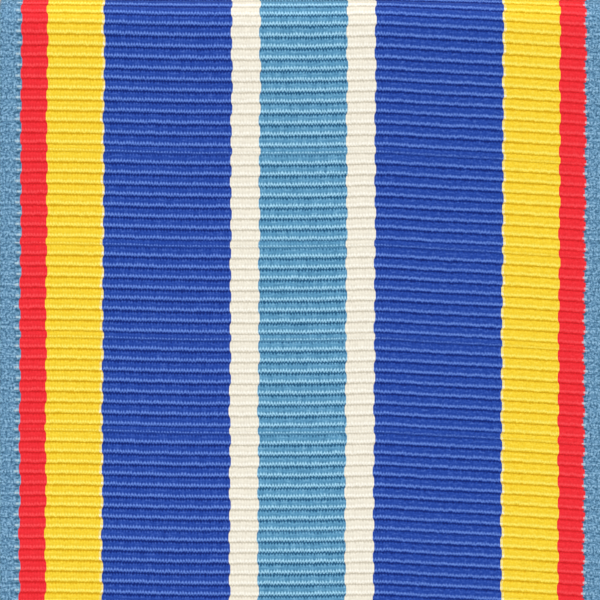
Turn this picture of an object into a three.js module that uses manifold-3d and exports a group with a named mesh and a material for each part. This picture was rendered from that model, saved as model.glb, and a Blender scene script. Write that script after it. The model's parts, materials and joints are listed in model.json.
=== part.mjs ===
// A full-size service medal: a brooch with its safety pin, a looped ribbon, a wire ring and a struck disc.
// Millimetres, +Z up. The front faces -Y and X runs across the ribbon.
// The origin is the middle of the brooch plate's back face, level with the pin.
import * as THREE from "three";
import { mergeVertices } from "three/addons/utils/BufferGeometryUtils.js";
import Module from "manifold-3d";

const wasm = await Module();
wasm.setup();

// ---- driving dimensions ----

const GAP = 0.3; // clearance between pieces that touch in the real medal

const RIBBON_WIDTH = 34.92;
const RIBBON_PLY = 0.6;
const RIBBON_STRAIGHT = 36; // rail axis to the start of the taper
const RIBBON_TAPER = 13; // height of the tapered foot
const RIBBON_FOOT = 7.2; // width of the fold that holds the ring
const TAIL_LENGTH = 13; // the ribbon's end, hanging behind the rail

const PLATE_WIDTH = 38.9;
const PLATE_HEIGHT = 5.6;
const PLATE_THICK = 1.4;
const PLATE_TOP = 3.2;
const PLATE_BEVEL = 0.2;
const ARM_WIDTH = 1.6;
const RAIL_RADIUS = 0.75;

const PIN_STANDOFF = 3.2; // pin axis behind the plate
const PIN_RADIUS = 0.45;
const PIN_HINGE_X = 15;
const PIN_TIP_X = -17.6;
const PIN_POINT = 4; // length of the tapered point
const PIN_EYE_RADIUS = 1.3;
const PIN_EYE_THICK = 1.5;
const SHEET = 0.6; // thickness of the soldered fittings
const RIVET_RADIUS = 0.45;
const RIVET_HEAD_RADIUS = 0.9;
const RIVET_HEAD_THICK = 0.4;

const CATCH_X = -14.5;
const SLEEVE_BORE = 0.8;
const SLEEVE_RADIUS = 1.35;
const SLEEVE_COLLAR = 1.95;
const SLEEVE_SLOT = 1.5;
const CRADLE_LENGTH = 1.8;
const CRADLE_SLOT = 1.9;
const TAB_REACH = 3;
const TAB_WIDTH = 1.2;
const TAB_ANGLE = THREE.MathUtils.degToRad(110); // from +Y towards +Z with the catch open

const WIRE_RADIUS = 0.7;
const RING_WIDTH = 14.4; // across the wire's centre line
const RING_HEIGHT = 7.2;
const RING_CORNER = 1.3;

const EYELET_RADIUS = 1.8;
const EYELET_HOLE = 1.1;
const EYELET_THICK = 1.7;
const EYELET_DROP = 0.2; // the hole's centre below the wire that it hangs on

const DISC_RADIUS = 15.875;
const RIM_HALF = 1.3;
const FIELD_HALF = 0.8;
const RIM_INNER = 14.4;
const RIM_EDGE = 0.4;
const RIM_SLOPE = 0.5;
const WREATH_RADIUS = 11.3;
const WREATH_HALF_WIDTH = 1.7;
const WREATH_RISE = 0.42;
const STAR_RADIUS = 8.2;
const STAR_RISE = 0.45;
const FOOT_WIDTH = 3.2;
const FOOT_DEPTH = 2;
const FOOT_RISE = 0.7;

const THREAD = 0.4;

// ---- derived places ----

const hangY = -PLATE_THICK / 2; // everything below the brooch hangs in this plane
const loopInner = 1.1; // inside radius of the ribbon round the rail and round the ring
const loopOuter = loopInner + RIBBON_PLY;
const plateBottom = PLATE_TOP - PLATE_HEIGHT;
const railZ = plateBottom - loopOuter - GAP - 0.1;
const taperZ = railZ - RIBBON_STRAIGHT;
const foldZ = taperZ - RIBBON_TAPER;
const ringZ = foldZ + loopOuter;
const ringBottomZ = ringZ - RING_HEIGHT;
const eyeletZ = ringBottomZ - EYELET_DROP;
const footTopZ = eyeletZ - EYELET_RADIUS - GAP;
const discZ = footTopZ - FOOT_RISE - DISC_RADIUS;
const halfRibbon = RIBBON_WIDTH / 2;
const halfFoot = RIBBON_FOOT / 2;

// ---- materials ----

const gilt = { color: 0xc9a24b, roughness: 0.35, metalness: 1 };
const nickel = { color: 0xb9b7b0, roughness: 0.3, metalness: 1 };
const bronze = { color: 0xa9773f, roughness: 0.42, metalness: 1 };
const cloth = { color: 0x2c4fb0, roughness: 0.85, metalness: 0 };
const sewing = { color: 0xd9d4c4, roughness: 0.9, metalness: 0 };

// ---- helpers ----

function solid(geometry) {
  const bare = geometry.index ? geometry.toNonIndexed() : geometry.clone();
  bare.deleteAttribute("normal");
  bare.deleteAttribute("uv");
  const merged = mergeVertices(bare, 1e-4);
  return new wasm.Manifold(
    new wasm.Mesh({
      numProp: 3,
      vertProperties: merged.attributes.position.array,
      triVerts: new Uint32Array(merged.index.array),
    }),
  );
}

function geometryOf(manifold) {
  const mesh = manifold.getMesh();
  const geometry = new THREE.BufferGeometry();
  geometry.setAttribute("position", new THREE.BufferAttribute(mesh.vertProperties, 3));
  geometry.setIndex(new THREE.BufferAttribute(mesh.triVerts, 1));
  geometry.computeVertexNormals();
  return geometry;
}

function box(width, depth, height, x, y, z) {
  return solid(new THREE.BoxGeometry(width, depth, height).translate(x, y, z));
}

// A rod whose length runs along "x" or "z", centred on a point.
function rod(along, radius, length, x, y, z, sides = 24) {
  const geometry = new THREE.CylinderGeometry(radius, radius, length, sides);
  if (along === "x") geometry.rotateZ(Math.PI / 2);
  else geometry.rotateX(Math.PI / 2);
  return solid(geometry.translate(x, y, z));
}

// A shape drawn in X and Z, given a thickness from y = back - depth to y = back.
function slabFacingFront(shape, depth, back, options = {}) {
  const bevel = options.bevel ?? 0;
  const geometry = new THREE.ExtrudeGeometry(shape, {
    depth: depth - 2 * bevel,
    bevelEnabled: bevel > 0,
    bevelThickness: bevel,
    bevelSize: bevel,
    bevelOffset: -bevel,
    bevelSegments: 1,
    curveSegments: 12,
  });
  return solid(geometry.rotateX(Math.PI / 2).translate(0, back - bevel, 0));
}

// A shape drawn in Y and Z, extruded across X about x = 0.
function slabAcross(shape, width) {
  const geometry = new THREE.ExtrudeGeometry(shape, {
    depth: width,
    bevelEnabled: false,
    curveSegments: 10,
  });
  geometry.translate(0, 0, -width / 2);
  geometry.applyMatrix4(new THREE.Matrix4().set(0, 0, 1, 0, 1, 0, 0, 0, 0, 1, 0, 0, 0, 0, 0, 1));
  return solid(geometry);
}

function polygon(points) {
  return new THREE.Shape(points.map(([x, y]) => new THREE.Vector2(x, y)));
}

const medal = new THREE.Group();

function add(name, shape, finish) {
  const geometry = shape.isBufferGeometry ? shape : geometryOf(shape);
  const mesh = new THREE.Mesh(geometry, new THREE.MeshStandardMaterial(finish));
  mesh.name = name;
  medal.add(mesh);
}

// ---- brooch: plate, two arms and the rail that carries the ribbon ----

function broochFrame() {
  const side = PLATE_WIDTH / 2;
  const inner = side - ARM_WIDTH;
  const armEnd = railZ - RAIL_RADIUS - 0.3;
  const corner = 0.9;
  const outline = new THREE.Shape();
  outline.moveTo(-side + corner, PLATE_TOP);
  outline.lineTo(side - corner, PLATE_TOP);
  outline.absarc(side - corner, PLATE_TOP - corner, corner, Math.PI / 2, 0, true);
  outline.lineTo(side, armEnd + ARM_WIDTH / 2);
  outline.absarc(side - ARM_WIDTH / 2, armEnd + ARM_WIDTH / 2, ARM_WIDTH / 2, 0, -Math.PI, true);
  outline.lineTo(inner, plateBottom);
  outline.lineTo(-inner, plateBottom);
  outline.lineTo(-inner, armEnd + ARM_WIDTH / 2);
  outline.absarc(-side + ARM_WIDTH / 2, armEnd + ARM_WIDTH / 2, ARM_WIDTH / 2, 0, -Math.PI, true);
  outline.lineTo(-side, PLATE_TOP - corner);
  outline.absarc(-side + corner, PLATE_TOP - corner, corner, Math.PI, Math.PI / 2, true);
  const plate = slabFacingFront(outline, PLATE_THICK, 0, { bevel: PLATE_BEVEL });
  const railLength = 2 * (side - ARM_WIDTH / 2);
  return plate.add(rod("x", RAIL_RADIUS, railLength, 0, hangY, railZ));
}

// ---- pin, with its hinge ----

const cheekInner = PIN_EYE_THICK / 2 + GAP;
const cheekOuter = cheekInner + SHEET;

function hingeBracket() {
  const reach = 1.5;
  const profile = new THREE.Shape();
  profile.moveTo(PIN_HINGE_X - 1.9, GAP);
  profile.lineTo(PIN_HINGE_X + 1.9, GAP);
  profile.lineTo(PIN_HINGE_X + 1.9, GAP + SHEET);
  profile.lineTo(PIN_HINGE_X + reach, PIN_STANDOFF);
  profile.absarc(PIN_HINGE_X, PIN_STANDOFF, reach, 0, Math.PI, false);
  profile.lineTo(PIN_HINGE_X - 1.9, GAP + SHEET);
  const hole = new THREE.Path();
  hole.absarc(PIN_HINGE_X, PIN_STANDOFF, RIVET_RADIUS + GAP, 0, 2 * Math.PI, true);
  profile.holes.push(hole);
  const block = new THREE.ExtrudeGeometry(profile, { depth: 2 * cheekOuter, bevelEnabled: false });
  const inside = box(6, 8, 2 * cheekInner, PIN_HINGE_X, GAP + SHEET + 4, 0);
  return solid(block.translate(0, 0, -cheekOuter)).subtract(inside);
}

function hingeRivet() {
  const headAt = cheekOuter + GAP;
  const end = headAt + RIVET_HEAD_THICK;
  const profile = [
    [0, -end],
    [RIVET_HEAD_RADIUS * 0.7, -end],
    [RIVET_HEAD_RADIUS, -headAt - 0.15],
    [RIVET_HEAD_RADIUS, -headAt],
    [RIVET_RADIUS, -headAt],
    [RIVET_RADIUS, headAt],
    [RIVET_HEAD_RADIUS, headAt],
    [RIVET_HEAD_RADIUS, headAt + 0.15],
    [RIVET_HEAD_RADIUS * 0.7, end],
    [0, end],
  ];
  return new THREE.LatheGeometry(profile.map(([r, y]) => new THREE.Vector2(r, y)), 24)
    .rotateX(Math.PI / 2)
    .translate(PIN_HINGE_X, PIN_STANDOFF, 0);
}

function pinStem() {
  const start = PIN_HINGE_X - PIN_EYE_RADIUS + 0.35;
  const length = start - PIN_TIP_X;
  const profile = [
    [0, 0],
    [PIN_RADIUS, 0],
    [PIN_RADIUS, length - PIN_POINT],
    [PIN_RADIUS * 0.72, length - PIN_POINT * 0.45],
    [0.08, length - 0.1],
    [0, length],
  ];
  const shaft = new THREE.LatheGeometry(profile.map(([r, y]) => new THREE.Vector2(r, y)), 16)
    .rotateZ(Math.PI / 2)
    .translate(start, PIN_STANDOFF, 0);
  const eye = rod("z", PIN_EYE_RADIUS, PIN_EYE_THICK, PIN_HINGE_X, PIN_STANDOFF, 0);
  const hole = rod("z", RIVET_RADIUS + GAP, PIN_EYE_THICK + 2, PIN_HINGE_X, PIN_STANDOFF, 0);
  return solid(shaft).add(eye).subtract(hole);
}

// ---- safety catch: a cradle and the sleeve that turns in it ----

function catchBase() {
  const cradleInner = SLEEVE_RADIUS + GAP;
  const cradleOuter = cradleInner + SHEET;
  const cradle = rod("x", cradleOuter, CRADLE_LENGTH, CATCH_X, PIN_STANDOFF, 0, 32);
  const bore = rod("x", cradleInner, CRADLE_LENGTH + 2, CATCH_X, PIN_STANDOFF, 0, 32);
  const slot = box(CRADLE_LENGTH + 2, 4, CRADLE_SLOT, CATCH_X, PIN_STANDOFF + 2.6, 0);
  const neckTop = PIN_STANDOFF - cradleInner - 0.1;
  const neck = box(CRADLE_LENGTH, neckTop - 0.6, 2, CATCH_X, (neckTop + 0.6) / 2, 0);
  const foot = box(3, SHEET, 3.6, CATCH_X, GAP + SHEET / 2, 0);
  return cradle.add(neck).subtract(bore).subtract(slot).add(foot);
}

function catchSleeve() {
  const barrelHalf = CRADLE_LENGTH / 2 + GAP;
  const end = barrelHalf + 0.5;
  const profile = [
    [SLEEVE_BORE, -end],
    [SLEEVE_COLLAR, -end],
    [SLEEVE_COLLAR, -barrelHalf],
    [SLEEVE_RADIUS, -barrelHalf],
    [SLEEVE_RADIUS, barrelHalf],
    [SLEEVE_COLLAR, barrelHalf],
    [SLEEVE_COLLAR, end],
    [SLEEVE_BORE, end],
    [SLEEVE_BORE, -end],
  ];
  const spool = new THREE.LatheGeometry(profile.map(([r, y]) => new THREE.Vector2(r, y)), 32)
    .rotateZ(Math.PI / 2)
    .translate(CATCH_X, PIN_STANDOFF, 0);
  const slot = box(2 * end + 2, 4, SLEEVE_SLOT, CATCH_X, PIN_STANDOFF + 2, 0);
  const tab = new THREE.BoxGeometry(0.5, TAB_REACH - SLEEVE_RADIUS, TAB_WIDTH)
    .translate(0, (TAB_REACH + SLEEVE_RADIUS) / 2, 0)
    .rotateX(TAB_ANGLE)
    .translate(CATCH_X - barrelHalf - 0.25, PIN_STANDOFF, 0);
  return solid(spool).subtract(slot).add(solid(tab));
}

// ---- ribbon: one length, looped over the rail and round the ring ----

const plyFront = hangY - loopOuter;
const plyBack = plyFront + 2 * RIBBON_PLY + 0.2; // back of the two plies where they lie together
const tailBack = plyBack + RIBBON_PLY;
const footBack = hangY + loopOuter; // back of the foot, where the plies part to pass the ring

// The plies in Y and Z, with the teardrop holes that the rail and the ring turn in.
function plySection() {
  const tailSpread = 8; // height over which the tail comes in to the plies
  const holeLength = 7;
  const section = new THREE.Shape();
  section.moveTo(plyFront, railZ);
  section.lineTo(plyFront, ringZ);
  section.absarc(hangY, ringZ, loopOuter, Math.PI, 2 * Math.PI, false);
  section.lineTo(plyBack, taperZ);
  section.lineTo(plyBack, railZ - TAIL_LENGTH);
  section.lineTo(tailBack, railZ - TAIL_LENGTH);
  section.lineTo(tailBack, railZ - tailSpread);
  section.lineTo(footBack, railZ);
  section.absarc(hangY, railZ, loopOuter, 0, Math.PI, false);
  const innerFront = hangY - loopInner;
  const railHole = new THREE.Path();
  railHole.moveTo(innerFront, railZ);
  railHole.absarc(hangY, railZ, loopInner, Math.PI, 0, true);
  railHole.lineTo(innerFront, railZ - holeLength);
  const ringHole = new THREE.Path();
  ringHole.moveTo(innerFront, ringZ);
  ringHole.absarc(hangY, ringZ, loopInner, Math.PI, 2 * Math.PI, false);
  ringHole.lineTo(innerFront, ringZ + holeLength);
  section.holes.push(railHole, ringHole);
  return section;
}

// The sides are folded in behind along the taper, so the foot is narrow enough for the ring.
function ribbon() {
  const above = railZ + loopOuter + 1;
  const below = foldZ - 1;
  const front = polygon([
    [-halfRibbon, above],
    [-halfRibbon, taperZ],
    [-halfFoot, foldZ],
    [-halfFoot, below],
    [halfFoot, below],
    [halfFoot, foldZ],
    [halfRibbon, taperZ],
    [halfRibbon, above],
  ]);
  return slabAcross(plySection(), RIBBON_WIDTH).intersect(slabFacingFront(front, 8, hangY + 4));
}

// ---- sewing thread ----

function tailThread() {
  return box(RIBBON_WIDTH - 3, THREAD, THREAD, 0, tailBack + GAP + THREAD / 2, railZ - TAIL_LENGTH + 1);
}

// The thread that closes one tapered edge, lying on the back of the foot. side is 1 for the right edge.
function edgeThread(side) {
  const inset = 1.2;
  const clear = GAP + THREAD;
  const foot = new THREE.Vector3(halfFoot + 1, footBack + clear, ringZ);
  const shoulder = new THREE.Vector3(halfRibbon - inset, plyBack + clear, taperZ);
  for (const end of [foot, shoulder]) end.x = side * (end.x - inset / 2);
  const along = shoulder.clone().sub(foot);
  const length = along.length() - 2;
  const turn = new THREE.Quaternion().setFromUnitVectors(new THREE.Vector3(0, 0, 1), along.normalize());
  const middle = foot.add(shoulder).multiplyScalar(0.5);
  return new THREE.BoxGeometry(THREAD, THREAD, length)
    .applyQuaternion(turn)
    .translate(middle.x, middle.y, middle.z);
}

// ---- ring ----

function suspensionRing() {
  const half = RING_WIDTH / 2;
  const drop = RING_HEIGHT - RING_CORNER;
  const points = [];
  const cornerSteps = 4;
  const bowSteps = 28;
  for (let i = 0; i <= cornerSteps; i++) {
    const a = (Math.PI / 2) * (1 - i / cornerSteps);
    const x = half - RING_CORNER + RING_CORNER * Math.cos(a);
    points.push([x, ringZ - RING_CORNER + RING_CORNER * Math.sin(a)]);
  }
  for (let i = 1; i < bowSteps; i++) {
    const a = (-Math.PI * i) / bowSteps;
    points.push([half * Math.cos(a), ringZ - RING_CORNER + drop * Math.sin(a)]);
  }
  for (let i = cornerSteps; i >= 0; i--) {
    const a = (Math.PI / 2) * (1 - i / cornerSteps);
    const x = half - RING_CORNER + RING_CORNER * Math.cos(a);
    points.push([-x, ringZ - RING_CORNER + RING_CORNER * Math.sin(a)]);
  }
  return sweptLoop(points.map(([x, z]) => new THREE.Vector3(x, hangY, z)), WIRE_RADIUS, 12);
}

// A round wire along a closed loop of points that lie in a plane of constant y.
function sweptLoop(points, radius, sides) {
  const count = points.length;
  const vertices = [];
  const faces = [];
  for (let i = 0; i < count; i++) {
    const before = points[(i + count - 1) % count];
    const after = points[(i + 1) % count];
    const along = after.clone().sub(before).normalize();
    const outward = new THREE.Vector3(along.z, 0, -along.x);
    for (let s = 0; s < sides; s++) {
      const a = (2 * Math.PI * s) / sides;
      const place = points[i].clone().addScaledVector(outward, radius * Math.cos(a));
      vertices.push(place.x, place.y + radius * Math.sin(a), place.z);
      const next = (i + 1) % count;
      const t = (s + 1) % sides;
      faces.push(i * sides + s, i * sides + t, next * sides + s);
      faces.push(next * sides + s, i * sides + t, next * sides + t);
    }
  }
  const geometry = new THREE.BufferGeometry();
  geometry.setAttribute("position", new THREE.Float32BufferAttribute(vertices, 3));
  geometry.setIndex(faces);
  geometry.computeVertexNormals();
  return geometry;
}

// ---- disc and its eyelet ----

function planchetEyelet() {
  const ringOut = rod("x", EYELET_RADIUS, EYELET_THICK, 0, hangY, eyeletZ, 32);
  return ringOut.subtract(rod("x", EYELET_HOLE, EYELET_THICK + 2, 0, hangY, eyeletZ, 32));
}

function star(radius, rise) {
  const points = [];
  for (let i = 0; i < 10; i++) {
    const a = (Math.PI * i) / 5 + Math.PI / 2;
    const r = i % 2 ? radius * 0.382 : radius;
    points.push([r * Math.cos(a), r * Math.sin(a)]);
  }
  // Each arm rises to a ridge, so the star is a low ten-sided pyramid.
  const vertices = [0, -rise, 0];
  for (const [x, z] of points) vertices.push(x, 0, z);
  vertices.push(0, 0.4, 0);
  const faces = [];
  for (let i = 0; i < 10; i++) {
    const a = 1 + i;
    const b = 1 + ((i + 1) % 10);
    faces.push(0, a, b, 11, b, a);
  }
  const geometry = new THREE.BufferGeometry();
  geometry.setAttribute("position", new THREE.Float32BufferAttribute(vertices, 3));
  geometry.setIndex(faces);
  return geometry;
}

function planchet() {
  const front = [[0, -FIELD_HALF]];
  const bumpSteps = 6;
  for (let i = 0; i <= bumpSteps; i++) {
    const a = (Math.PI * i) / bumpSteps;
    const r = WREATH_RADIUS - WREATH_HALF_WIDTH * Math.cos(a);
    front.push([r, -FIELD_HALF - WREATH_RISE * Math.sin(a)]);
  }
  const rims = [
    [RIM_INNER - RIM_SLOPE, -FIELD_HALF],
    [RIM_INNER, -RIM_HALF],
    [DISC_RADIUS - RIM_EDGE, -RIM_HALF],
    [DISC_RADIUS, -RIM_HALF + RIM_EDGE],
    [DISC_RADIUS, RIM_HALF - RIM_EDGE],
    [DISC_RADIUS - RIM_EDGE, RIM_HALF],
    [RIM_INNER, RIM_HALF],
    [RIM_INNER - RIM_SLOPE, FIELD_HALF],
    [0, FIELD_HALF],
  ];
  const profile = [...front, ...rims].map(([r, y]) => new THREE.Vector2(r, y));
  const disc = new THREE.LatheGeometry(profile, 96).translate(0, hangY, discZ);
  const raised = star(STAR_RADIUS, STAR_RISE).translate(0, hangY - FIELD_HALF, discZ);
  const footHeight = FOOT_RISE + 1;
  const foot = box(FOOT_WIDTH, FOOT_DEPTH, footHeight, 0, hangY, footTopZ - footHeight / 2);
  return solid(disc).add(solid(raised)).add(foot);
}

add("brooch_frame", broochFrame(), gilt);
add("hinge_bracket", hingeBracket(), gilt);
add("hinge_rivet", hingeRivet(), nickel);
add("pin_stem", pinStem(), nickel);
add("catch_base", catchBase(), gilt);
add("catch_sleeve", catchSleeve(), gilt);
add("ribbon", ribbon(), cloth);
add("tail_seam_thread", tailThread(), sewing);
add("left_edge_thread", edgeThread(-1), sewing);
add("right_edge_thread", edgeThread(1), sewing);
add("suspension_ring", suspensionRing(), gilt);
add("planchet_eyelet", planchetEyelet(), bronze);
add("planchet", planchet(), bronze);

export default medal;
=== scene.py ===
"""A full-size service medal: striped ribbed ribbon on a pin brooch, wire ring and struck disc.

Lengths are in millimetres in this script and become metres as each mesh is made.
The front faces -Y, +Z is up and X runs across the ribbon.
"""

import json
import math

import bmesh
import bpy
import numpy as np
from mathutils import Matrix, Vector

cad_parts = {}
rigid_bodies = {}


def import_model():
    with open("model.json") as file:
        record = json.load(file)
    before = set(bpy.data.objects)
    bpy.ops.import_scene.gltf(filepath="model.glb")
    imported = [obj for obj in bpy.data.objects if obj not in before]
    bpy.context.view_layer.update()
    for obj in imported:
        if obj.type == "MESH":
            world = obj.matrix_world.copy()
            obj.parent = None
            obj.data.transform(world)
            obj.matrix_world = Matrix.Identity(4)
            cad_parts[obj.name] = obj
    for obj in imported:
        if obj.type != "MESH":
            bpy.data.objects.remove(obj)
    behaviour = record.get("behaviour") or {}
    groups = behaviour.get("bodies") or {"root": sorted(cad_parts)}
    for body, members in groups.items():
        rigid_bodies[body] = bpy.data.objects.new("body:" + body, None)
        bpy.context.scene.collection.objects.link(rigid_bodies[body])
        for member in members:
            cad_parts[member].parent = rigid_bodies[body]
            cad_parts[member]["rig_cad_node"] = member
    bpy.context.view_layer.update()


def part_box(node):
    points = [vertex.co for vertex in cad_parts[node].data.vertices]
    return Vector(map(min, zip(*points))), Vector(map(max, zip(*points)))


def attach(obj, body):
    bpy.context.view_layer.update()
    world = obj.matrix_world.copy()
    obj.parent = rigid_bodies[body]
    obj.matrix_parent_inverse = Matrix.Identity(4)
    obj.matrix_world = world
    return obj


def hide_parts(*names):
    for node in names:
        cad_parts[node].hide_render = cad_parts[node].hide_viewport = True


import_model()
rng = np.random.default_rng(7)

MM = 0.001


def node_box(name):
    """Lowest and highest corner of a CAD node in millimetres."""
    low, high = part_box(name)
    return np.array(low) / MM, np.array(high) / MM


ribbon_low, ribbon_high = node_box("ribbon")

# ---- camera: a macro view of the ribbon, square on ----

VIEW_SIDE = 34.64
VIEW_TOP = -3.1
VIEW_CENTRE_X = -0.08
CAMERA_AWAY = 260.0

camera = bpy.data.objects.new("camera", bpy.data.cameras.new("camera"))
bpy.context.scene.collection.objects.link(camera)
bpy.context.scene.camera = camera
camera.data.sensor_width = 36.0
camera.data.lens = camera.data.sensor_width * CAMERA_AWAY / VIEW_SIDE
camera.location = Vector((VIEW_CENTRE_X, ribbon_low[1] - CAMERA_AWAY, VIEW_TOP - VIEW_SIDE / 2)) * MM
camera.rotation_euler = (math.radians(90), 0, 0)
camera.data.clip_start = 0.01
camera.data.clip_end = 20

# ---- mesh helpers ----


def make_object(name, vertices, faces, material, fields=None):
    """A smooth mesh object from millimetre vertices. fields maps an attribute's name to its values."""
    mesh = bpy.data.meshes.new(name)
    mesh.from_pydata((np.asarray(vertices, float) * MM).tolist(), [], [tuple(f) for f in faces])
    mesh.validate()
    for key, values in (fields or {}).items():
        values = np.asarray(values, np.float32)
        kind = "FLOAT_VECTOR" if values.ndim == 2 else "FLOAT"
        attribute = mesh.attributes.new(key, kind, "POINT")
        attribute.data.foreach_set("vector" if values.ndim == 2 else "value", values.ravel())
    shape = bmesh.new()
    shape.from_mesh(mesh)
    bmesh.ops.recalc_face_normals(shape, faces=shape.faces)
    shape.to_mesh(mesh)
    shape.free()
    mesh.polygons.foreach_set("use_smooth", [True] * len(mesh.polygons))
    mesh.materials.append(material)
    made = bpy.data.objects.new(name, mesh)
    bpy.context.scene.collection.objects.link(made)
    return made


def grid_faces(rows, columns, wrap=True, start=0):
    """Quads over a grid of vertices numbered row by row. wrap joins the last column to the first."""
    row = np.arange(rows - 1)[:, None]
    column = np.arange(columns if wrap else columns - 1)[None, :]
    right = (column + 1) % columns
    a = row * columns + column
    b = row * columns + right
    return (np.stack((a, b, b + columns, a + columns), -1).reshape(-1, 4) + start).tolist()


def ring_of_faces(rows, columns):
    """Quads over a grid whose last row joins its first, as on a ring."""
    faces = grid_faces(rows + 1, columns)
    return [tuple(i % (rows * columns) for i in face) for face in faces]


def loft(rings):
    """A closed surface through rings of points, capped at both ends."""
    count, around = len(rings), len(rings[0])
    caps = [tuple(range(around - 1, -1, -1)), tuple(range((count - 1) * around, count * around))]
    return np.concatenate(rings), grid_faces(count, around) + caps


def tube(centres, radii, sides, closed=False):
    """A round tube along a path that does not start along Y, capped unless it closes on itself."""
    centres = np.asarray(centres, float)
    count = len(centres)
    radii = np.broadcast_to(np.asarray(radii, float), (count,))
    if closed:
        along = np.roll(centres, -1, 0) - np.roll(centres, 1, 0)
    else:
        along = np.gradient(centres, axis=0)
    along /= np.linalg.norm(along, axis=1)[:, None]
    side = np.zeros_like(along)
    guess = np.array([0.0, 1.0, 0.0])
    for i in range(count):
        guess = guess - along[i] * np.dot(guess, along[i])
        guess /= np.linalg.norm(guess)
        side[i] = guess
    other = np.cross(along, side)
    angle = 2 * np.pi * np.arange(sides) / sides
    around = side[:, None] * np.cos(angle)[None, :, None] + other[:, None] * np.sin(angle)[None, :, None]
    rings = centres[:, None] + around * radii[:, None, None]
    if not closed:
        return loft(list(rings))
    return np.concatenate(rings), ring_of_faces(count, sides)


def lathe(profile, axis, centre, segments=64):
    """A closed profile of (radius, distance along the axis) turned about an axis, "x" or "z"."""
    profile = np.asarray(profile, float)
    angle = 2 * np.pi * np.arange(segments) / segments
    out = profile[:, 0][:, None] * np.cos(angle)
    up = profile[:, 0][:, None] * np.sin(angle)
    along = np.broadcast_to(profile[:, 1][:, None], out.shape)
    order = {"x": (along, out, up), "z": (out, up, along)}[axis]
    vertices = np.stack(order, -1).reshape(-1, 3) + np.asarray(centre, float)
    return vertices, ring_of_faces(len(profile), segments)


def joined(*shapes):
    """Several (vertices, faces) pairs as one."""
    vertices, faces, start = [], [], 0
    for some, theirs in shapes:
        vertices.append(np.asarray(some, float))
        faces += [tuple(i + start for i in face) for face in theirs]
        start += len(some)
    return np.concatenate(vertices), faces


def rounded_box(low, high, radius, steps=3):
    """A box with all its edges rounded."""
    low, high = np.asarray(low, float), np.asarray(high, float)
    middle, half = (low + high) / 2, (high - low) / 2
    count = 2 * (steps + 1)
    bend = radius * np.sin(np.linspace(-np.pi / 2, 0, steps + 1))
    lines = [np.concatenate([bend - core, core - bend[::-1]]) for core in half - radius]
    vertices, faces = [], []
    for axis in range(3):
        u, v = (axis + 1) % 3, (axis + 2) % 3
        for sign in (-1, 1):
            place = np.zeros((count, count, 3))
            place[..., u] = lines[u][:, None]
            place[..., v] = lines[v][None, :]
            place[..., axis] = sign * half[axis]
            core = np.clip(place, -(half - radius), half - radius)
            out = place - core
            out /= np.maximum(np.linalg.norm(out, axis=-1), 1e-9)[..., None]
            place = core + out * radius
            faces += grid_faces(count, count, wrap=False, start=len(vertices) * count * count)
            vertices.append(place.reshape(-1, 3))
    # The six sides share the vertices where they meet.
    places, which = np.unique(np.round(np.concatenate(vertices), 6), axis=0, return_inverse=True)
    which = which.ravel()
    return places + middle, [tuple(int(which[i]) for i in face) for face in faces]


def ease(value, start, end):
    """0 before start, 1 after end, smooth between."""
    t = np.clip((value - start) / (end - start), 0, 1)
    return t * t * (3 - 2 * t)


def weld_and_bevel(made, width, segments=3):
    """Merges coincident corners and rounds the sharp edges."""
    weld = made.modifiers.new("weld", "WELD")
    weld.merge_threshold = 1e-6
    bevel = made.modifiers.new("bevel", "BEVEL")
    bevel.width = width * MM
    bevel.segments = segments
    bevel.limit_method = "ANGLE"
    bevel.angle_limit = math.radians(35)
    bevel.harden_normals = True


# ---- node helpers ----


def linear(colour):
    """A colour given in 0 to 255 display steps, as the shader wants it."""
    parts = [c / 255 for c in colour]
    return [p / 12.92 if p <= 0.04045 else ((p + 0.055) / 1.055) ** 2.4 for p in parts] + [1.0]


# Places of a Mix node's colour sockets, which share their names with its other sockets.
MIX_A, MIX_B, MIX_RESULT = 6, 7, 2


class Value:
    """A number inside a material. Arithmetic on it adds Math nodes."""

    def __init__(self, nodes, socket):
        self.nodes = nodes
        self.socket = socket

    def apply(self, operation, other=0.0):
        return self.nodes.math(operation, self, other)

    def __add__(self, other):
        return self.apply("ADD", other)

    def __sub__(self, other):
        return self.apply("SUBTRACT", other)

    def __rsub__(self, other):
        return self.nodes.math("SUBTRACT", other, self)

    def __mul__(self, other):
        return self.apply("MULTIPLY", other)

    def __truediv__(self, other):
        return self.apply("DIVIDE", other)

    def __abs__(self):
        return self.apply("ABSOLUTE")

    def limit(self, low=0.0, high=1.0):
        return self.apply("MAXIMUM", low).apply("MINIMUM", high)


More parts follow.
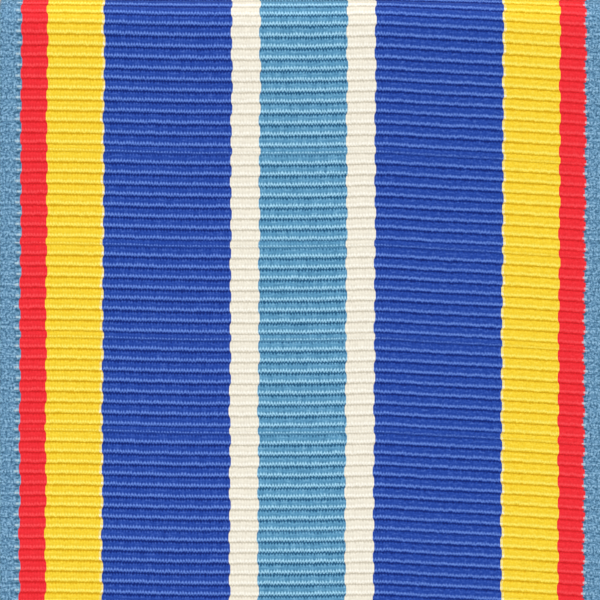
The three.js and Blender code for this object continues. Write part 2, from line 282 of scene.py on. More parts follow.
class Nodes:
    """Builds one material's node tree."""

    def __init__(self, name):
        self.material = bpy.data.materials.new(name)
        self.material.use_nodes = True
        self.tree = self.material.node_tree
        self.tree.nodes.clear()
        output = self.node("OutputMaterial")
        self.shader = self.node("BsdfPrincipled")
        self.put(self.shader.outputs["BSDF"], output.inputs["Surface"])

    def node(self, kind, **settings):
        made = self.tree.nodes.new("ShaderNode" + kind)
        for name, value in settings.items():
            setattr(made, name, value)
        return made

    def put(self, value, target):
        """Links a socket or a Value, or sets a plain value."""
        value = getattr(value, "socket", value)
        if isinstance(value, bpy.types.NodeSocket):
            self.tree.links.new(value, target)
        else:
            target.default_value = value

    def math(self, operation, a, b):
        node = self.node("Math", operation=operation)
        self.put(a, node.inputs[0])
        self.put(b, node.inputs[1])
        return Value(self, node.outputs[0])

    def mix(self, factor, a, b):
        node = self.node("Mix", data_type="RGBA")
        self.put(factor, node.inputs["Factor"])
        self.put(a, node.inputs[MIX_A])
        self.put(b, node.inputs[MIX_B])
        return node.outputs[MIX_RESULT]

    def ramp(self, value, stops, interpolation="LINEAR"):
        """stops is a list of (place, colour or grey)."""
        node = self.node("ValToRGB")
        node.color_ramp.interpolation = interpolation
        elements = node.color_ramp.elements
        while len(elements) < len(stops):
            elements.new(0.5)
        for element, (place, colour) in zip(elements, stops):
            element.position = place
            element.color = colour if hasattr(colour, "__len__") else (colour, colour, colour, 1)
        self.put(value, node.inputs[0])
        return Value(self, node.outputs[0])

    def noise(self, vector, scale, detail=2.0, rough=0.5):
        node = self.node("TexNoise")
        node.inputs["Scale"].default_value = scale
        node.inputs["Detail"].default_value = detail
        node.inputs["Roughness"].default_value = rough
        self.put(vector, node.inputs["Vector"])
        return Value(self, node.outputs["Fac"])

    def random(self, seed, other=None):
        """A number from 0 to 1 for each seed, or for each pair of seeds."""
        if other is None:
            node = self.node("TexWhiteNoise", noise_dimensions="1D")
            self.put(seed, node.inputs["W"])
        else:
            node = self.node("TexWhiteNoise", noise_dimensions="2D")
            self.put(self.vector(seed, other, 0.0), node.inputs["Vector"])
        return Value(self, node.outputs["Value"])

    def attribute(self, name, output="Fac"):
        return Value(self, self.node("Attribute", attribute_name=name).outputs[output])

    def split(self, vector):
        node = self.node("SeparateXYZ")
        self.put(vector, node.inputs[0])
        return [Value(self, output) for output in node.outputs]

    def vector(self, *parts):
        node = self.node("CombineXYZ")
        for value, target in zip(parts, node.inputs):
            self.put(value, target)
        return node.outputs[0]

    def position(self):
        """The point on the object in millimetres."""
        scale = self.node("VectorMath", operation="SCALE")
        scale.inputs["Scale"].default_value = 1 / MM
        self.put(self.node("TexCoord").outputs["Object"], scale.inputs[0])
        return scale.outputs[0]

    def smooth(self, value, start, end):
        """0 before start, 1 after end."""
        node = self.node("MapRange", interpolation_type="SMOOTHSTEP")
        self.put(value, node.inputs["Value"])
        node.inputs["From Min"].default_value = start
        node.inputs["From Max"].default_value = end
        return Value(self, node.outputs["Result"])

    def finish(self, colour, roughness, relief=None, depth=0.0):
        """Connects the shader. relief from 0 to 1 stands for depth millimetres."""
        self.put(colour, self.shader.inputs["Base Color"])
        self.put(roughness, self.shader.inputs["Roughness"])
        if relief is not None:
            node = self.node("Bump")
            node.inputs["Strength"].default_value = 1.0
            node.inputs["Distance"].default_value = depth * MM
            self.put(relief, node.inputs["Height"])
            self.put(node.outputs["Normal"], self.shader.inputs["Normal"])
        return self.material

    def with_inputs(self, **settings):
        """Sets the shader's plain inputs, named with underscores for spaces."""
        for name, value in settings.items():
            self.shader.inputs[name.replace("_", " ")].default_value = value
        return self.material


# ---- ribbon cloth: stripes, ribs and yarns, all in the ribbon's own measure ----

HALF_RIBBON = (ribbon_high[0] - ribbon_low[0]) / 2
STRIPE_ENDS = (2.5, 4.2, 11.58, 14.85, 16.26)  # half-widths, from the middle out
FRINGE = 0.05
YARN_PITCH = 0.173
RIB_PITCH = 0.6225
THIN_RIB = 0.405
RIBS_TO_A_THIN_ONE = 8
THIN_RIBS = 4  # how many uneven beats of the loom left a thin rib on the front

# Each yarn's colour: painted valley shade, plain rib, and painted highlight on the rib's lower edge.
YARNS = {
    "light": ((24, 82, 121), (89, 150, 189), (166, 216, 243)),
    "white": ((214, 206, 189), (237, 231, 216), (255, 252, 242)),
    "royal": ((8, 34, 118), (33, 70, 165), (102, 138, 222)),
    "yellow": ((221, 172, 14), (244, 209, 50), (255, 240, 108)),
    "red": ((218, 28, 36), (238, 43, 53), (252, 74, 82)),
    "edge": ((56, 98, 130), (97, 144, 180), (148, 190, 222)),
    "cream": ((214, 170, 60), (246, 224, 122), (255, 252, 232)),
    # A narrow dark line, painted shadow, on the royal side of each yellow stripe's edge.
    "shadow_line": ((6, 18, 66), (24, 44, 104), (70, 94, 160)),
}

# How far yarns push the valley up and down, as a share of a rib.
RIPPLE = {"light": 0.17, "royal": 0.13, "shadow_line": 0.13, "edge": 0.12}
RIPPLE |= {"white": 0.09, "cream": 0.09, "yellow": 0.08, "red": 0.07}


def stripe_stops(value_of):
    """Colour-ramp stops from the ribbon's left edge to its right. value_of gives a stripe's value."""
    inner, white, royal, yellow, red = STRIPE_ENDS
    names = ("light", "white", "royal", "shadow_line", "cream", "yellow", "red", "edge")
    starts = (0.0, inner, white, royal - FRINGE, royal, royal + FRINGE, yellow, red)
    right = list(zip(names, starts))
    ends = [start for _, start in right[1:]] + [HALF_RIBBON]
    left = [(name, -end) for (name, _), end in zip(reversed(right), reversed(ends))]
    stops = []
    for name, start in left[:-1] + [("light", -inner)] + right[1:]:
        place = (start + HALF_RIBBON) / (2 * HALF_RIBBON)
        stops.append((min(max(place, 0), 1), value_of(name)))
    return stops


# Painted shade over a rib, valley to valley: body, faint line midway, painted highlight on the lower edge.
RIB_SHADE = [(0.0, 0.0), (0.05, 0.08), (0.12, 0.42), (0.22, 0.53), (0.36, 0.46), (0.46, 0.41)]
RIB_SHADE += [(0.56, 0.48), (0.64, 0.74), (0.70, 0.96), (0.76, 1.0), (0.83, 0.80), (0.90, 0.34)]
RIB_SHADE += [(0.95, 0.04), (1.0, 0.0)]
BODY_SHADE = 0.48
EDGE_SWING = 0.045  # how far the weft pulls a stripe's edge to either side
EDGE_DRIFT = 0.16  # how far the edges drift over many ribs
LEAN = 0.0045  # how far the stripes lean for each millimetre down the ribbon
LEAN_ORIGIN = 16.0
# Right of the middle the painted rib highlight and valley shade grow weaker.
FLAT_FROM, FLAT_TO = 4.2, 5.6  # where the yarns start to lie flatter, right of the middle
EDGE_CORD = STRIPE_ENDS[-1]  # where the stripes end and the edge cord starts
NOTCH = linear((38, 84, 112))
LOOP = linear((205, 228, 236))


def ribbon_material():
    n = Nodes("ribbon_cloth")
    across, rib, along = n.split(n.attribute("weave", "Vector"))
    which, turn = rib.apply("FLOOR"), rib.apply("FRACT")
    # The weft pulls the stripes' edges left and right by turns.
    swing = ((rib * math.pi).apply("SINE") * 1.8).limit(-1.0, 1.0)
    slow = n.noise(n.vector(across * 0.05, rib * 0.23, 0.0), 1.0, 1.0)
    pulled = across + swing * EDGE_SWING + (slow - 0.5) * EDGE_DRIFT + (along - LEAN_ORIGIN) * LEAN
    share = (pulled + HALF_RIBBON) / (2 * HALF_RIBBON)
    from_middle = abs(pulled)
    on_edge = n.smooth(from_middle, EDGE_CORD - 0.02, EDGE_CORD + 0.05)

    # Warp yarns, each rib's set a little out of step with the last.
    wander = n.noise(n.vector(across, rib * 0.9, 0.0), 1.6, 2.0)
    place = across / YARN_PITCH + n.random(which) + wander * 1.6
    yarn = (place * (2 * math.pi)).apply("COSINE") * 0.5 + 0.5
    odd = n.random(place.apply("FLOOR"), which) - 0.5

    # Right of the middle the yarns lie flatter, and the painted highlights on the ribs' lower edges are
    # weaker.
    flat = n.smooth(across, FLAT_FROM, FLAT_TO) * (1.0 - on_edge)
    ripple = n.ramp(share, stripe_stops(lambda name: RIPPLE[name]), "CONSTANT")
    ripple = ripple * (1.0 - flat * 0.5)
    wobble = n.noise(n.vector(across * 0.9, rib, 3.0), 1.0, 1.0)
    phase = turn + (yarn - 0.5) * ripple + odd * 0.07 + (wobble - 0.5) * 0.08
    shade = n.ramp((phase + 1.0).apply("FRACT"), RIB_SHADE)
    patchy = n.noise(n.vector(across * 0.35, rib * 0.8, 7.0), 1.0, 2.0)
    # Strength of the painted rib shade and highlight: patchy, lower on thin ribs and on the edge cord.
    strength = (patchy * 0.5 + 0.82) * n.attribute("firm") * (1.0 - on_edge * 0.75)
    tone = (shade - BODY_SHADE) * strength

    # Fine fibre speckle, and dots where yarns cross the painted highlight line.
    fibre = n.noise(n.vector(across / 0.3, rib * 6.0, 0.0), 1.0, 3.0)
    heather = n.noise(n.vector(across / 0.16, along / 0.13, 5.0), 1.0, 3.0, 0.7)
    tone = tone + (fibre - 0.5) * 0.6 + odd * (ripple * 0.9 - 0.05)
    tone = tone + (heather - 0.5) * (flat * 0.45 + on_edge * 3.2 + 0.3)
    dots = (yarn - 0.5) * (n.smooth(shade, 0.75, 1.0) * 0.7 + 0.08)
    tone = tone + dots * (1.0 - flat * 0.75)

    # Tone takes each stripe's colour towards its painted valley shade or its painted highlight.
    dark, body, light = (
        n.ramp(share, stripe_stops(lambda name, i=i: linear(YARNS[name][i])), "CONSTANT") for i in range(3)
    )
    lit = n.mix((tone * (1.9 - flat * 0.2)).limit(), body, light)
    colour = n.mix((tone * -2.1).limit(), lit, dark)

    # Small dark notches and pale loops where the edge cord meets the red.
    near = on_edge * n.smooth(from_middle, EDGE_CORD + 0.30, EDGE_CORD + 0.20)
    notch = near * n.smooth(abs(turn - 0.1), 0.13, 0.06)
    loop = near * n.smooth(abs(turn - 0.72), 0.15, 0.05)
    colour = n.mix(loop * 0.55, n.mix(notch * 0.8, colour, NOTCH), LOOP)

    relief = yarn * (1.0 - on_edge * 0.5) + fibre * 0.5 + heather * (on_edge * 2.0 + 0.3)
    n.finish(colour, fibre * 0.2 + 0.55, relief, 0.018)
    return n.with_inputs(Specular_IOR_Level=0.1, Sheen_Weight=0.08, Sheen_Roughness=0.4)


def thread_material():
    n = Nodes("sewing_thread")
    twist = n.noise(n.position(), 9.0, 3.0)
    colour = n.mix(n.smooth(twist, 0.3, 0.7), linear((176, 170, 152)), linear((232, 227, 212)))
    n.finish(colour, 0.7, twist, 0.05)
    return n.with_inputs(Sheen_Weight=0.3)


# ---- metals ----


def metal_material(name, bright, worn, tarnish, rough, grain, recessed=False, drawn=False):
    """Metal with tarnish in patches and fine scratches. recessed darkens it by the attribute "recess",
    and drawn runs its scratches along X."""
    n = Nodes(name)
    spot = n.position()
    clouds = n.noise(spot, 0.35, 4.0, 0.6)
    grit = n.noise(spot, 6.0, 3.0, 0.6)
    stretch = (0.12, 5.0, 5.0) if drawn else (0.9, 2.2, 3.1)
    scratch = n.noise(n.vector(*[v * k for v, k in zip(n.split(spot), stretch)]), 2.4, 4.0, 0.7)
    colour = n.mix(n.smooth(clouds, 0.35, 0.75), linear(bright), linear(worn))
    spots = n.smooth(grit + clouds * 0.5, 0.84, 1.02)
    colour = n.mix(spots * 0.7, colour, linear(tarnish))
    roughness = scratch * (grain * 0.3) + (rough - grain * 0.12) + spots * 0.15
    if recessed:
        patchy = (n.attribute("recess") + (grit - 0.5) * 0.5).limit()
        colour = n.mix(patchy * 0.9, colour, linear(tarnish))
        roughness = roughness + patchy * 0.25
    n.finish(colour, roughness, scratch * 0.6 + grit * 0.4, 0.02 * grain)
    return n.with_inputs(Metallic=1.0)


BRONZE_TARNISH = (62, 40, 24)
GILT = metal_material("gilt_brass", (214, 178, 104), (196, 156, 84), (104, 74, 36), 0.34, 0.7, drawn=True)
GILT_FITTING = metal_material("gilt_fitting", (206, 172, 104), (182, 148, 84), (96, 70, 36), 0.38, 0.7)
STEEL = metal_material("pin_steel", (206, 203, 196), (186, 183, 176), (112, 104, 92), 0.28, 0.6, drawn=True)
BRONZE = metal_material(
    "medal_bronze", (190, 142, 92), (164, 116, 70), BRONZE_TARNISH, 0.36, 0.6, recessed=True
)
BRONZE_FITTING = metal_material("bronze_fitting", (186, 138, 88), (158, 112, 68), BRONZE_TARNISH, 0.38, 0.7)

# ---- ribbon: one length, from the tail behind the rail, over it, round the ring and up behind ----

HANG_Y = -0.7  # everything below the brooch hangs in this plane
RAIL_Z = -4.5
TAPER_Z = -40.5
RING_Z = -51.8
LOOP_OUT = 1.7
PLY = 0.55
PLY_BACK = -1.0
TAIL_BACK = -0.4
TAIL_LENGTH = 13.0
TAIL_SPREAD = 8.0
HALF_FOOT = 3.6
FOLD_Z = RING_Z - LOOP_OUT
UNDER_TAIL_Z = -12.5
HEM = 2.0
RIB_RISE = 0.07
ROW_MARGIN = 0.9  # rows kept past the ribbon's ends, because the ribs slope
THIN_RIB_Z = -16.575  # top of the second thin rib on the front, at the ribbon's middle
THIN_BEFORE = 1  # thin ribs above that one


def tangent_angle(point, centre, radius):
    """Angle, about a circle's centre, where a line from an outside point with greater Y touches it."""
    offset = np.asarray(point, float) - np.asarray(centre, float)
    distance = np.hypot(*offset)
    base = math.atan2(offset[1], offset[0])
    return base, math.acos(radius / distance)


def ribbon_route():
    """The outer face of the ribbon in Y and Z, from the tail's raw end to the end hidden under the tail."""
    rail, ring = (HANG_Y, RAIL_Z), (HANG_Y, RING_Z)
    bend_z = RAIL_Z - TAIL_SPREAD
    base, spread = tangent_angle((TAIL_BACK, bend_z), rail, LOOP_OUT)
    over = np.linspace(base + spread, math.pi, 60)
    base, spread = tangent_angle((PLY_BACK, TAPER_Z), ring, LOOP_OUT)
    under = np.linspace(math.pi, base - spread + 2 * math.pi, 60)
    route = [(TAIL_BACK, RAIL_Z - TAIL_LENGTH), (TAIL_BACK, bend_z - 1), (TAIL_BACK, bend_z)]
    for (y, z), bend in ((rail, over), (ring, under)):
        route += [(y + LOOP_OUT * math.cos(a), z + LOOP_OUT * math.sin(a)) for a in bend]
    route += [(PLY_BACK, TAPER_Z), (PLY_BACK, TAPER_Z + 1), (PLY_BACK, UNDER_TAIL_Z)]
    return np.array(route)


def even_route(route, step=0.05, soften=0.6):
    """The route at even steps, its corners eased over a short length, with the distance along it."""
    lengths = np.concatenate([[0], np.cumsum(np.hypot(*np.diff(route, axis=0).T))])
    count = int(lengths[-1] / step) + 1
    at = np.linspace(0, lengths[-1], count)
    points = np.stack([np.interp(at, lengths, route[:, i]) for i in (0, 1)], -1)
    width = int(soften / step)
    kernel = np.hanning(2 * width + 3)[1:-1]
    kernel /= kernel.sum()
    padded = np.pad(points, ((width, width), (0, 0)), mode="reflect", reflect_type="odd")
    eased = np.stack([np.convolve(padded[:, i], kernel, "valid") for i in (0, 1)], -1)
    return at, eased


def rib_drop(across):
    """How far a rib runs down the ribbon, away from level, at a place across it."""
    rise = np.clip((across - 3) / 14.3, 0, 1)
    dip = 0.1 * np.exp(-(((across - 4.4) / 2.3) ** 2))
    return 0.21 * ease(across, -15, -5) - dip + 0.71 * rise**1.6


def ribbon_rows(length, thin_at):
    """Place along the ribbon, rib number and strength of the painted rib shade and highlight of each row of
    the mesh. thin_at is where one of the thin ribs starts."""
    inside = (0.0, 0.06, 0.16, 0.32, 0.50, 0.68, 0.84, 0.94)
    first_thin = thin_at - (THIN_RIB + RIBS_TO_A_THIN_ONE * RIB_PITCH) * THIN_BEFORE
    edge = first_thin - math.ceil(first_thin / RIB_PITCH + 2) * RIB_PITCH
    number = 0
    since_thin = -round((first_thin - edge) / RIB_PITCH)
    rows = []
    while edge < length + ROW_MARGIN:
        thin = since_thin % (RIBS_TO_A_THIN_ONE + 1) == 0 and 0 <= since_thin
        thin = thin and since_thin < THIN_RIBS * (RIBS_TO_A_THIN_ONE + 1)
        tall = THIN_RIB if thin else RIB_PITCH
        after_thin = 0 < since_thin and since_thin % (RIBS_TO_A_THIN_ONE + 1) == 1
        for share in inside:
            # Thin ribs, and the valley after them, get weaker painted shade and highlight.
            soft = thin or (after_thin and share < 0.1)
            rows.append((edge + share * tall, number + share, 0.5 if soft else 1.0))
        edge += tall
        number += 1
        since_thin += 1
    rows = np.array(rows)
    return rows[(rows[:, 0] > -ROW_MARGIN) & (rows[:, 0] < length + ROW_MARGIN)]


def cross_section(half, hemmed, crest):
    """Places across the ribbon and depths: the outer face, one edge, the inner face, the other edge."""
    thick = PLY + hemmed
    flat = half - thick / 2
    outer = flat * np.linspace(-1, 1, 47)
    valley = (1 - crest) * RIB_RISE * (1 - 0.6 * ease(np.abs(outer), 16.1, 16.6))
    bend = np.linspace(0, np.pi, 7)[1:-1]
    edge = flat + thick / 2 * np.sin(bend)
    edge_depth = thick / 2 * (1 - np.cos(bend))
    hem = max(flat - HEM, 0.6 * flat)
    inner = np.array([flat, hem + 0.2, hem - 0.3, 0.33 * hem])
    inner_depth = np.array([thick, thick, PLY, PLY])
    across = np.concatenate([outer, edge, inner, -inner[::-1], -edge[::-1]])
    depth = np.concatenate([valley, edge_depth, inner_depth, inner_depth[::-1], edge_depth[::-1]])
    return across, depth


def make_ribbon():
    at, route = even_route(ribbon_route())
    length = at[-1]
    rail_front = at[np.argmax((route[:, 0] < HANG_Y - LOOP_OUT + 1e-3) & (route[:, 1] <= RAIL_Z))]
    rows = ribbon_rows(length, rail_front + RAIL_Z - THIN_RIB_Z)
    # The pull over the rail opens the ribs near it.
    below_rail = rows[:, 0] - rail_front
    rows[:, 0] -= 0.06 * ease(below_rail, 7.4, 4.5) + 0.11 * ease(below_rail, 2.2, -0.6)
    direction = np.gradient(route, axis=0)
    direction /= np.hypot(*direction.T)[:, None]
    vertices, weave, firm = [], [], []
    for place, number, painted_contrast in rows:
        # The taper's width, and the thickness of its hem, follow the height of the row's middle.
        z_mid = np.interp(place, at, route[:, 1])
        taper = np.clip((z_mid - FOLD_Z) / (TAPER_Z - FOLD_Z), 0, 1)
        half = HALF_FOOT + (HALF_RIBBON - HALF_FOOT) * taper
        hemmed = (1 - ease(z_mid, TAPER_Z - 2.5, TAPER_Z - 0.2)) * 0.34 * (1 - taper)
        crest = math.sin(math.pi * (number % 1.0)) ** 0.7
        across, depth = cross_section(half, hemmed, crest)
        here = place + rib_drop(across)
        y, z = (np.interp(here, at, route[:, i]) for i in (0, 1))
        along_y, along_z = (np.interp(here, at, direction[:, i]) for i in (0, 1))
        # The ribbon's inner side lies to the left of the way it runs.
        vertices.append(np.stack([across, y - along_z * depth, z + along_y * depth], -1))
        weave.append(np.stack([across, np.full_like(across, number), here - rail_front], -1))
        # The painted rib shade and highlight are weaker right of the middle.
        firm.append(painted_contrast * (1 - 0.15 * ease(across, 4.2, 5.5)))
    fields = {"weave": np.concatenate(weave), "firm": np.concatenate(firm)}
    return make_object("medal_ribbon", *loft(vertices), ribbon_material(), fields), length


ribbon, ribbon_length = make_ribbon()
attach(ribbon, "ribbon")
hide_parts("ribbon")
# The strap is cut from a straight length, with a narrow triangle off each side at the foot before hemming.
CUT_AT_FOOT = HALF_RIBBON - HALF_FOOT - HEM
cut_area = 2 * HALF_RIBBON * ribbon_length - 2 * CUT_AT_FOOT * (TAPER_Z - FOLD_Z)

# ---- sewing thread ----

THREAD_RADIUS = 0.16


def stitch(start, end, lift, sink=0.12, steps=12):
    """One stitch of thread that comes up out of the cloth, lies along it and goes down again."""
    start, end, lift = (np.asarray(p, float) for p in (start, end, lift))
    share = np.linspace(0, 1, steps)[:, None]
    rise = np.sin(np.pi * share) ** 0.45
    centres = start + (end - start) * share + lift * (rise * (0.17 + sink) - sink)
    radii = THREAD_RADIUS * (0.8 + 0.2 * np.sin(np.pi * share[:, 0]))
    return tube(centres, radii, 10)


def make_tail_thread():
    z = RAIL_Z - TAIL_LENGTH + 1.0
    reach, pitch, long = 15.6, 2.4, 1.5
    shapes = []
    for x in np.arange(-reach, reach - long, pitch):
        tilt = 0.16 * rng.uniform(-1, 1)
        here = z + rib_drop(x) * -0.6 + 0.06 * rng.uniform(-1, 1)
        shapes.append(stitch((x, TAIL_BACK, here), (x + long, TAIL_BACK, here + tilt), (0, 1, 0)))
    return make_object("tail_stitches", *joined(*shapes), THREAD)


def back_ply_y(z):
    """Outer face of the back ply between the ring and the start of the taper."""
    base, spread = tangent_angle((PLY_BACK, TAPER_Z), (HANG_Y, RING_Z), LOOP_OUT)
    touch = base - spread
    y0, z0 = HANG_Y + LOOP_OUT * math.cos(touch), RING_Z + LOOP_OUT * math.sin(touch)
    share = np.clip((z - z0) / (TAPER_Z - z0), 0, 1)
    return y0 + (PLY_BACK - y0) * share


def make_edge_thread(side):
    """Slanted whip stitches down the back of one tapered edge."""
    shapes = []
    for z in np.arange(TAPER_Z - 1.6, RING_Z + 1.6, -1.25):
        half = HALF_FOOT + (HALF_RIBBON - HALF_FOOT) * (z - FOLD_Z) / (TAPER_Z - FOLD_Z)
        jitter = 0.1 * rng.uniform(-1, 1)
        inner = (side * (half - 1.55 + jitter), back_ply_y(z - 0.35), z - 0.35)
        outer = (side * (half - 0.35), back_ply_y(z + 0.1), z + 0.1)
        shapes.append(stitch(inner, outer, (0, 1, 0)))
    return make_object("left_edge_stitches" if side < 0 else "right_edge_stitches", *joined(*shapes), THREAD)


THREAD = thread_material()
for stitches, node in (
    (make_tail_thread(), "tail_seam_thread"),
    (make_edge_thread(-1), "left_edge_thread"),
    (make_edge_thread(1), "right_edge_thread"),
):
    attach(stitches, "ribbon")
    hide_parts(node)

# ---- brooch: plate with a sunk panel, two arms and the rail ----

PLATE_HALF = 19.45
PLATE_TOP = 3.2
PLATE_BOTTOM = -2.4
PLATE_THICK = 1.4
PLATE_CORNER = 0.9
PLATE_ROUND = 0.28
ARM_WIDTH = 1.6
ARM_END = -5.55
RAIL_RADIUS = 0.75


def rounded_ring(centre, half_x, half_y, radius, z, steps=5):
    """Points round a rounded rectangle at height z, anticlockwise from above."""
    points = []
    radius = min(radius, half_x, half_y)
    for corner, (sx, sy) in enumerate(((1, 1), (-1, 1), (-1, -1), (1, -1))):
        angle = np.linspace(0, np.pi / 2, steps) + corner * np.pi / 2
        x = centre[0] + sx * (half_x - radius) + radius * np.cos(angle)
        y = centre[1] + sy * (half_y - radius) + radius * np.sin(angle)
        points.append(np.stack([x, y, np.full_like(x, z)], -1))
    return np.concatenate(points)


def arm(side):
    centre = (side * (PLATE_HALF - ARM_WIDTH / 2), -PLATE_THICK / 2)
    half_x, half_y = ARM_WIDTH / 2, PLATE_THICK / 2
    low = ARM_END + half_x
    rings = [(low - half_x * math.cos(a), math.sin(a)) for a in np.linspace(0.06, np.pi / 2, 9)]
    # The arm's upper end narrows a little, to lie inside the plate.
    rings += [(low + 0.6, 1.0), (PLATE_BOTTOM + 0.05, 1.0), (PLATE_BOTTOM + 0.32, 0.93)]
    rings.append((PLATE_BOTTOM + 1.2, 0.85))
    return loft(
        [rounded_ring(centre, half_x * k, half_y - PLATE_ROUND * (1 - k), 0.26, z) for z, k in rings]
    )


def plate_depth(edge_distance):
    """How far the plate's face falls back near its outline."""
    inside = np.clip(PLATE_ROUND - edge_distance, 0, PLATE_ROUND)
    return PLATE_ROUND - np.sqrt(np.maximum(PLATE_ROUND**2 - inside**2, 0))


def plate():
    rise = PLATE_TOP - PLATE_BOTTOM
    ends = np.array([0, 0.03, 0.08, 0.15, 0.24])
    rows = np.concatenate([ends, np.linspace(0.34, rise - 0.34, 34), rise - ends[::-1]])
    rings = []
    for up in rows:
        z = PLATE_BOTTOM + up
        over = max(0.0, z - (PLATE_TOP - PLATE_CORNER))
        half = PLATE_HALF - PLATE_CORNER + math.sqrt(max(PLATE_CORNER**2 - over**2, 0))
        span = np.linspace(-half + 0.34, half - 0.34, 180)
        x = np.concatenate([-half + ends, span, (half - ends)[::-1]])
        edge = np.minimum.reduce([half - np.abs(x), np.full_like(x, up), np.full_like(x, rise - up)])
        corner_x = np.maximum(np.abs(x) - (PLATE_HALF - PLATE_CORNER), 0)
        reach = PLATE_CORNER - np.hypot(corner_x, over)
        edge = np.where((corner_x > 0) & (over > 0), np.minimum(edge, np.maximum(reach, 0)), edge)
        # A sunk panel inside a raised border, with a fine bead along the border.
        panel = ease(edge, 0.95, 1.15) * 0.16
        bead = 0.07 * np.exp(-(((edge - 0.62) / 0.11) ** 2))
        front = -PLATE_THICK + plate_depth(edge) + panel - bead
        back = -plate_depth(edge)
        line = np.stack([x, front, np.full_like(x, z)], -1)
        other = np.stack([x, back, np.full_like(x, z)], -1)[::-1]
        rings.append(np.concatenate([line, other]))
    return loft(rings)


def make_brooch():
    rail_reach = PLATE_HALF - 0.5
    rail_x = np.linspace(-rail_reach, rail_reach, 40)
    centres = np.stack([rail_x, np.full_like(rail_x, HANG_Y), np.full_like(rail_x, RAIL_Z)], -1)
    rail = tube(centres, RAIL_RADIUS, 32)
    # Solder that has run out from under the two fittings on the back.
    catch_low, catch_high = node_box("catch_base")
    hinge_low, hinge_high = node_box("hinge_bracket")
    pads = []
    for low, high in ((catch_low, catch_high), (hinge_low, hinge_high)):
        middle = ((low[0] + high[0]) / 2, (low[2] + high[2]) / 2)
        half = ((high[0] - low[0]) / 2, min((high[2] - low[2]) / 2, 1.9))
        rings = []
        for grow, y in ((0.34, -0.15), (0.3, 0.0), (0.16, 0.08), (0.06, 0.2), (-0.02, 0.42)):
            ring = rounded_ring(middle, half[0] + grow, half[1] + grow, 0.35, 0.0)
            rings.append(np.stack([ring[:, 0], np.full(len(ring), y), ring[:, 1]], -1)[::-1])
        pads.append(loft(rings))
    return make_object("brooch_bar", *joined(plate(), arm(-1), arm(1), rail, *pads), GILT)


brooch = make_brooch()
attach(brooch, "brooch")
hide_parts("brooch_frame")

# ---- pin and rivet ----

PIN_Y = 3.2
PIN_RADIUS = 0.45
HINGE_X = 15.0
PIN_TIP_X = -17.6


def rounded_profile(inner, outer, half, radius, steps=5):
    """A closed (radius, distance) profile of a ring with rounded corners."""
    points = []
    corners = ((outer, half, 0), (inner, half, 1), (inner, -half, 2), (outer, -half, 3))
    for r, y, turn in corners:
        cr = r - radius if turn in (0, 3) else r + radius
        cy = y - math.copysign(radius, y)
        for a in np.linspace(0, np.pi / 2, steps) + turn * np.pi / 2:
            points.append((cr + radius * math.cos(a), cy + radius * math.sin(a)))
    return points


def make_pin():
    shaft_end = HINGE_X - 0.9
    x = np.concatenate([PIN_TIP_X + 4.2 * np.linspace(0, 1, 26) ** 1.4, np.linspace(-13, shaft_end, 50)])
    taper = np.clip((x - PIN_TIP_X) / 4.0, 0, 1)
    radii = np.maximum(PIN_RADIUS * (1 - (1 - taper) ** 1.9), 0.02)
    flare = np.clip((x - (shaft_end - 1.0)) / 1.0, 0, 1)
    radii = radii * (1 + 0.25 * flare**2)
    centres = np.stack([x, np.full_like(x, PIN_Y), np.zeros_like(x)], -1)
    eye = lathe(rounded_profile(0.75, 1.3, 0.75, 0.2), "z", (HINGE_X, PIN_Y, 0), 48)
    return make_object("pin", *joined(tube(centres, radii, 24), eye), STEEL)


def make_rivet():
    head, shank, inside, out = 0.9, 0.45, 1.65, 2.35
    side = [(shank, 0.0), (shank, inside), (head - 0.08, inside), (head, inside + 0.08)]
    rise = out - inside - 0.2
    dome = [(head * math.cos(a), inside + 0.18 + rise * math.sin(a)) for a in np.linspace(0, 1.45, 8)]
    upper = side + dome + [(0.02, out)]
    lower = [(r, -y) for r, y in reversed(upper) if y > 0]
    return make_object("rivet", *lathe(lower + upper, "z", (HINGE_X, PIN_Y, 0), 40), STEEL)


pin = make_pin()
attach(pin, "pin")
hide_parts("pin_stem")
rivet = make_rivet()
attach(rivet, "brooch")
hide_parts("hinge_rivet")

nodes = {o.get("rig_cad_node"): o for o in bpy.context.scene.objects if o.get("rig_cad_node")}
bracket = nodes["hinge_bracket"]
bracket.data.materials.clear()
bracket.data.materials.append(GILT_FITTING)
weld_and_bevel(bracket, 0.09)

# ---- safety catch: a cradle, and the slotted sleeve that turns in it ----

CATCH_X = -14.5
CRADLE_INNER = 1.65
CRADLE_OUTER = 2.25
CRADLE_HALF = 0.9
CRADLE_HALF_SLOT = 0.95
SLEEVE_BORE = 0.8
SLEEVE_RADIUS = 1.35
SLEEVE_COLLAR = 1.95
SLEEVE_HALF_SLOT = 0.75
BARREL_HALF = 1.2
SLEEVE_HALF = 1.7
TAB_REACH = 3.0
TAB_ANGLE = math.radians(110)


def round_corners(points, radius, steps=4):
    """A closed outline with every corner eased over a short curve."""
    points = np.asarray(points, float)
    out = []
    for before, corner, after in zip(np.roll(points, 1, 0), points, np.roll(points, -1, 0)):
        arrive, leave = before - corner, after - corner
        arrive = arrive * min(radius / np.hypot(*arrive), 0.48)
        leave = leave * min(radius / np.hypot(*leave), 0.48)
        for t in np.linspace(0, 1, steps):
            out.append(corner + arrive * (1 - t) ** 2 + leave * t**2)
    return np.array(out)


def split_barrel(profile, half_slot, steps=72):
    """A barrel along X at the catch, turned from a closed (radius, x) profile, slotted on its +Y side."""
    radius, x = np.asarray(profile, float).T
    first = np.arcsin(np.clip(half_slot / radius, 0, 1))
    rings = []
    for share in np.linspace(0, 1, steps):
        angle = first + (2 * np.pi - 2 * first) * share
        y = PIN_Y + radius * np.cos(angle)
        rings.append(np.stack([CATCH_X + x, y, radius * np.sin(angle)], -1))
    return loft(rings)


